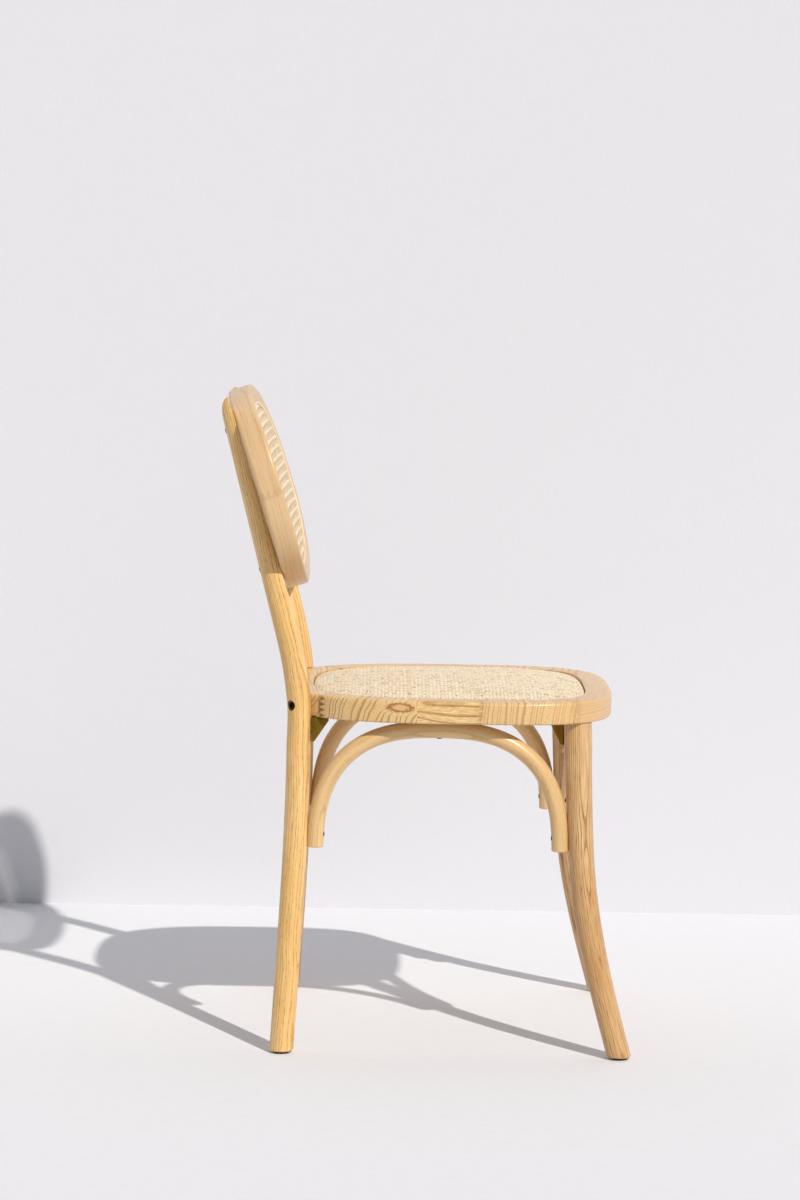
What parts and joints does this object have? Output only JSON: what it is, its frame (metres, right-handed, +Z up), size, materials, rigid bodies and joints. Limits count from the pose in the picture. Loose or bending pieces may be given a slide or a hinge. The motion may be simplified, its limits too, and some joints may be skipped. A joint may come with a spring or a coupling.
{
  "type": "cane back dining chair",
  "caption": "Armless dining chair of bent and turned wood with arched braces under the seat, a crowned woven cane seat and a leaning oval back ring filled with open cane.",
  "frame": {"origin": "on the floor, under the middle of the chair's outline seen from above", "axes": "+Z up, -Y the way the sitter looks, +X to the sitter's left"},
  "size_m": [0.4724, 0.538, 0.8464],
  "materials": {
    "ash": "clear satin lacquer on straight grained ash",
    "ash_pale": "clear satin lacquer on paler, fine grained ash",
    "plywood": "raw plywood",
    "cane": "woven strands of natural rattan cane",
    "reed": "natural rattan reed",
    "yellow_zinc": "yellow passivated zinc plate",
    "black_steel": "black oxide",
    "glide_plastic": "plain dark plastic"
  },
  "bodies": {
    "root": {"arch_front": "ash_pale", "arch_front_screw_left": "black_steel", "arch_front_screw_right": "black_steel", "arch_front_screw_top": "black_steel", "arch_left": "ash_pale", "arch_left_screw_front": "black_steel", "arch_left_screw_rear": "black_steel", "arch_left_screw_top": "black_steel", "arch_rear": "ash_pale", "arch_rear_screw_left": "black_steel", "arch_rear_screw_right": "black_steel", "arch_rear_screw_top": "black_steel", "arch_right": "ash_pale", "arch_right_screw_front": "black_steel", "arch_right_screw_rear": "black_steel", "arch_right_screw_top": "black_steel", "back_cane": "cane", "back_rail_lower": "ash_pale", "back_rail_upper": "ash_pale", "back_screw_lower_left": "black_steel", "back_screw_lower_right": "black_steel", "back_screw_upper_left": "black_steel", "back_screw_upper_right": "black_steel", "back_spline": "reed", "bracket_front_left": "yellow_zinc", "bracket_front_left_screw_leg": "black_steel", "bracket_front_left_screw_up": "black_steel", "bracket_front_right": "yellow_zinc", "bracket_front_right_screw_leg": "black_steel", "bracket_front_right_screw_up": "black_steel", "bracket_rear_left": "yellow_zinc", "bracket_rear_left_screw_leg": "black_steel", "bracket_rear_left_screw_up": "black_steel", "bracket_rear_right": "yellow_zinc", "bracket_rear_right_screw_leg": "black_steel", "bracket_rear_right_screw_up": "black_steel", "front_leg_left": "ash", "front_leg_right": "ash", "glide_front_left": "glide_plastic", "glide_front_right": "glide_plastic", "glide_rear_left": "glide_plastic", "glide_rear_right": "glide_plastic", "rear_leg_bolt_left": "black_steel", "rear_leg_bolt_right": "black_steel", "rear_leg_left": "ash", "rear_leg_right": "ash", "seat_board": "plywood", "seat_cane": "cane", "seat_corner_left": "ash", "seat_corner_right": "ash", "seat_rail_front": "ash", "seat_rail_left": "ash", "seat_rail_rear": "ash", "seat_rail_right": "ash"}
  },
  "joints": []
}
